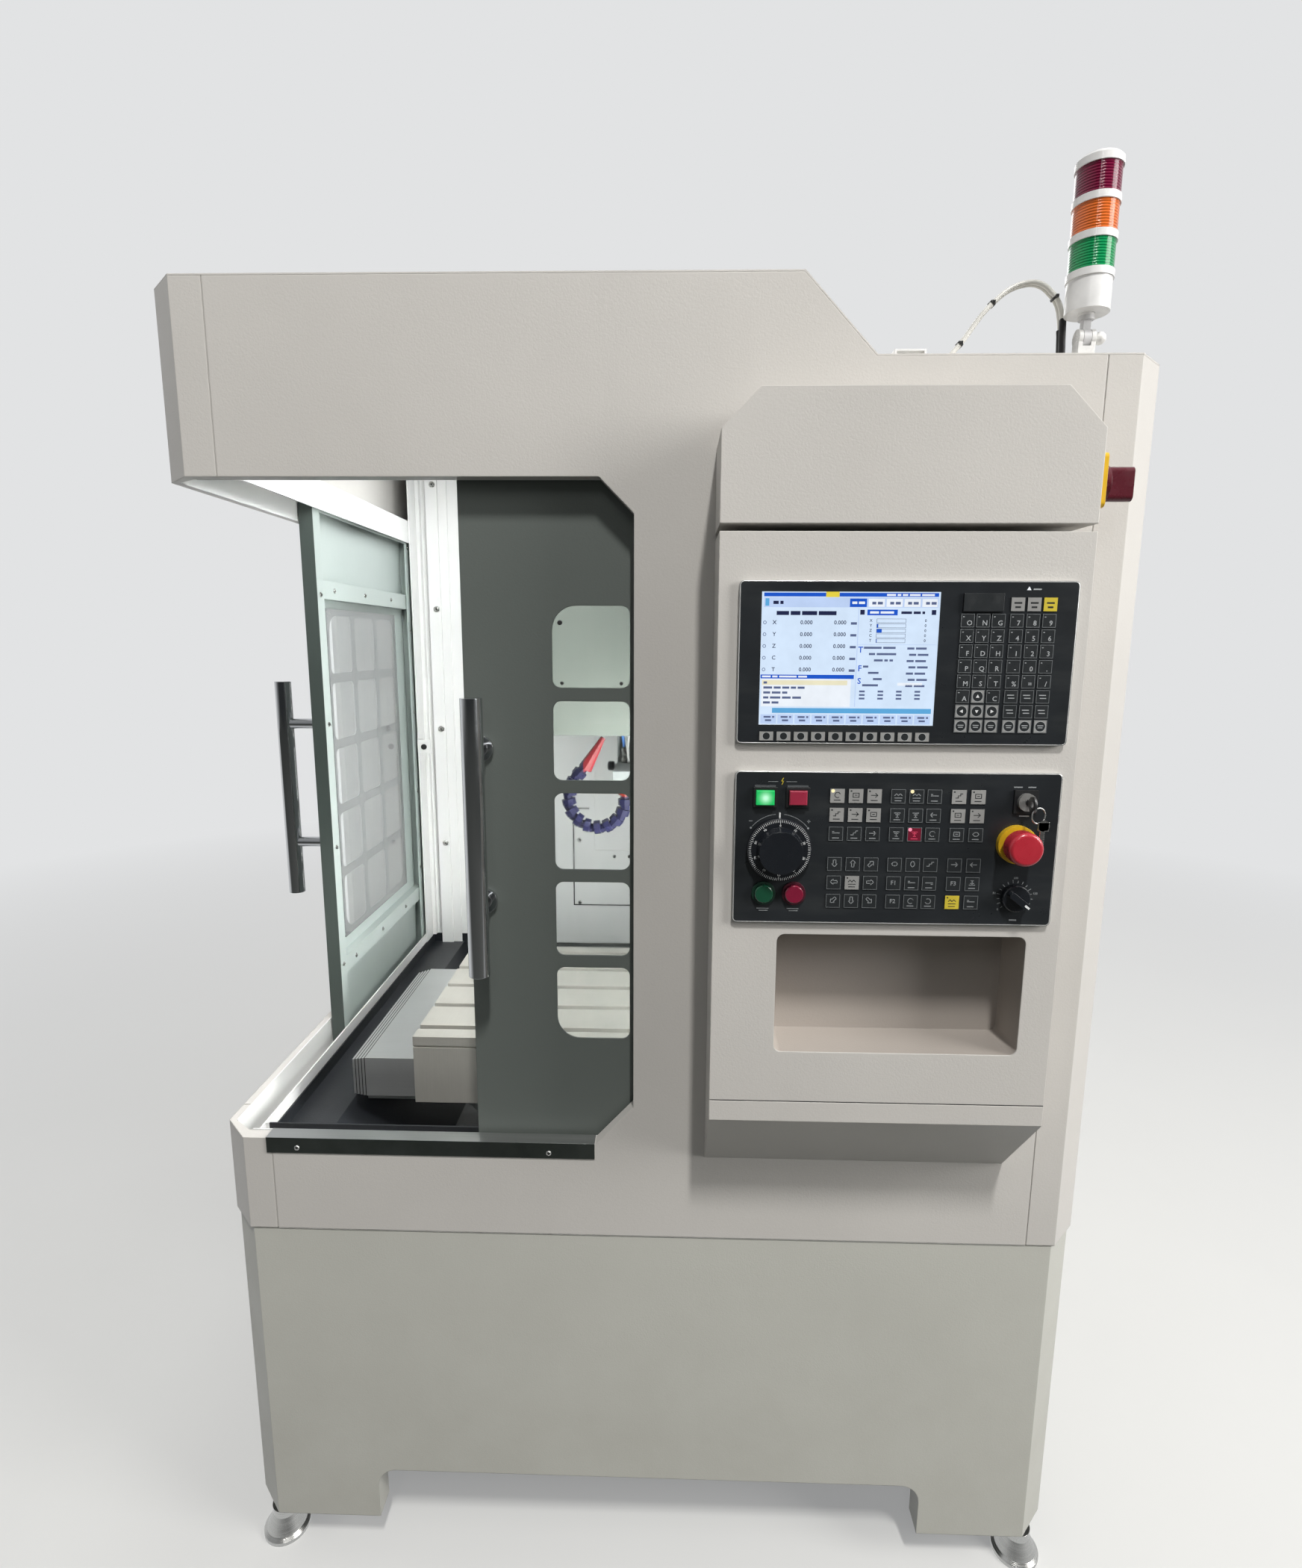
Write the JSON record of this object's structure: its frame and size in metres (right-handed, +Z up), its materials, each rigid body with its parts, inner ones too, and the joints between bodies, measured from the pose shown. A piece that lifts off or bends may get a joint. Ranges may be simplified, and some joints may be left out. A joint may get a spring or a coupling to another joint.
{
  "type": "cnc tapping center",
  "caption": "Enclosed tapping center with a sloped-foot control console, two sliding window-grille doors open at the front left corner, a light tower and a skirted base.",
  "frame": {"origin": "centre of the bounding box's underside, on the floor", "axes": "+X to the operator's right, +Y from the operator to the back, +Z up"},
  "size_m": [1.395, 2.024, 2.118],
  "materials": {
    "cast_iron": "painted casting",
    "machined_iron": "ground, oiled",
    "bright_steel": "bright metal",
    "motor_black": "satin black",
    "enclosure_white": "fine orange-peel powder coat",
    "skirt_grey": "powder coat",
    "door_grey": "powder coat",
    "magazine_steel": "brushed sheet",
    "clear_sheet": "clear safety sheet",
    "chrome_tube": "polished tube",
    "panel_black": "satin black",
    "key_grey": "satin keys",
    "collar_plastic": "yellow and black mouldings",
    "knob_black": "satin black",
    "switch_red": "red",
    "switch_green": "green",
    "hose_blue": "blue with a red nozzle",
    "lamp_white": "white plastic",
    "tower_lens": "red, amber and green drums"
  },
  "bodies": {
    "frame": {"base_casting": "cast_iron", "column": "cast_iron", "linear_rails": "bright_steel", "levelling_feet": "bright_steel", "sill_trim": "bright_steel", "axis_motors": "motor_black", "front_panel": "enclosure_white", "corner_columns": "enclosure_white", "left_side_panel": "enclosure_white", "right_side_panel": "enclosure_white", "roof": "enclosure_white", "rear_panel": "enclosure_white", "console_box": "enclosure_white", "console_header": "enclosure_white", "electrical_cabinet": "enclosure_white", "magazine_cover": "enclosure_white", "liner": "enclosure_white", "door_tracks": "enclosure_white", "chip_tray": "enclosure_white", "base_skirt": "skirt_grey", "coolant_tank": "skirt_grey", "magazine_frame": "magazine_steel", "tower_bracket": "magazine_steel", "display_unit": "panel_black", "operator_panel": "panel_black", "display_keys": "key_grey", "panel_keys": "key_grey", "switch_collars": "collar_plastic", "work_light": "lamp_white", "roof_cables": "lamp_white"},
    "saddle": {"saddle": "cast_iron", "x_rails": "bright_steel", "x_motor": "motor_black", "way_covers": "magazine_steel"},
    "table": {"table": "machined_iron"},
    "head": {"headstock": "cast_iron", "head_apron": "magazine_steel", "spindle_motor": "motor_black", "coolant_hose": "hose_blue"},
    "spindle": {"spindle": "bright_steel"},
    "turret": {"magazine_turret": "magazine_steel"},
    "front_door": {"front_door": "door_grey", "front_door_window": "clear_sheet", "front_door_handle": "chrome_tube"},
    "side_door": {"side_door": "door_grey", "side_door_window": "clear_sheet", "side_door_handle": "chrome_tube"},
    "cabinet_door": {"cabinet_door": "enclosure_white"},
    "cabinet_latch": {"cabinet_latch": "bright_steel"},
    "handwheel": {"handwheel": "knob_black"},
    "estop": {"estop_button": "switch_red"},
    "override": {"override_knob": "knob_black"},
    "switch_key": {"switch_key": "bright_steel"},
    "start": {"start_button": "switch_green"},
    "stop": {"stop_button": "switch_red"},
    "power_on": {"power_on_button": "switch_green"},
    "power_off": {"power_off_button": "switch_red"},
    "main_switch": {"switch_knob": "switch_red"},
    "tower": {"tower_housing": "lamp_white", "tower_lenses": "tower_lens"}
  },
  "joints": [
    {"name": "y_axis", "type": "slide", "parent": "frame", "child": "saddle", "axis": [0, 1, 0], "range_m": [0, 0.4]},
    {"name": "x_axis", "type": "slide", "parent": "saddle", "child": "table", "axis": [1, 0, 0], "range_m": [-0.2, 0.3]},
    {"name": "z_axis", "type": "slide", "parent": "frame", "child": "head", "axis": [0, 0, 1], "range_m": [-0.29, 0]},
    {"name": "spindle_turn", "type": "hinge", "parent": "head", "child": "spindle", "pos_m": [0.0375, -0.302, 1.4], "axis": [0, 0, 1], "continuous": true},
    {"name": "turret_index", "type": "hinge", "parent": "frame", "child": "turret", "pos_m": [0.0375, -0.449, 1.6], "axis": [0, 1, 0], "continuous": true},
    {"name": "front_door_slide", "type": "slide", "parent": "frame", "child": "front_door", "axis": [1, 0, 0], "range_m": [-0.343, 0.19]},
    {"name": "side_door_slide", "type": "slide", "parent": "frame", "child": "side_door", "axis": [0, 1, 0], "range_m": [-0.35, 0.07]},
    {"name": "cabinet_door_swing", "type": "hinge", "parent": "frame", "child": "cabinet_door", "pos_m": [-0.4505, 0.974, 1.1], "axis": [0, 0, 1], "range_deg": [0, 110]},
    {"name": "cabinet_latch_turn", "type": "hinge", "parent": "cabinet_door", "child": "cabinet_latch", "pos_m": [0.4675, 1, 1.1], "axis": [0, 1, 0], "range_deg": [0, 90]},
    {"name": "handwheel_turn", "type": "hinge", "parent": "frame", "child": "handwheel", "pos_m": [0.203, -0.984, 1.2485], "axis": [0, 1, 0], "continuous": true},
    {"name": "estop_push", "type": "slide", "parent": "frame", "child": "estop", "axis": [0, 1, 0], "range_m": [0, 0.004]},
    {"name": "override_turn", "type": "hinge", "parent": "frame", "child": "override", "pos_m": [0.4997, -0.984, 1.1893], "axis": [0, 1, 0], "range_deg": [-150, 120]},
    {"name": "switch_key_turn", "type": "hinge", "parent": "frame", "child": "switch_key", "pos_m": [0.5032, -0.989, 1.3118], "axis": [0, 1, 0], "range_deg": [0, 90]},
    {"name": "start_push", "type": "slide", "parent": "frame", "child": "start", "axis": [0, 1, 0], "range_m": [0, 0.003], "stiffness_N_per_m": 300, "springref_m": -0.002},
    {"name": "stop_push", "type": "slide", "parent": "frame", "child": "stop", "axis": [0, 1, 0], "range_m": [0, 0.003], "stiffness_N_per_m": 300, "springref_m": -0.002},
    {"name": "power_on_push", "type": "slide", "parent": "frame", "child": "power_on", "axis": [0, 1, 0], "range_m": [0, 0.003], "stiffness_N_per_m": 300, "springref_m": -0.002},
    {"name": "power_off_push", "type": "slide", "parent": "frame", "child": "power_off", "axis": [0, 1, 0], "range_m": [0, 0.003], "stiffness_N_per_m": 300, "springref_m": -0.002},
    {"name": "main_switch_turn", "type": "hinge", "parent": "frame", "child": "main_switch", "pos_m": [0.5775, -0.934, 1.692], "axis": [1, 0, 0], "range_deg": [0, 90]},
    {"name": "tower_fold", "type": "hinge", "parent": "frame", "child": "tower", "pos_m": [0.6115, -0.789, 1.904], "axis": [1, 0, 0], "range_deg": [0, 90]}
  ]
}
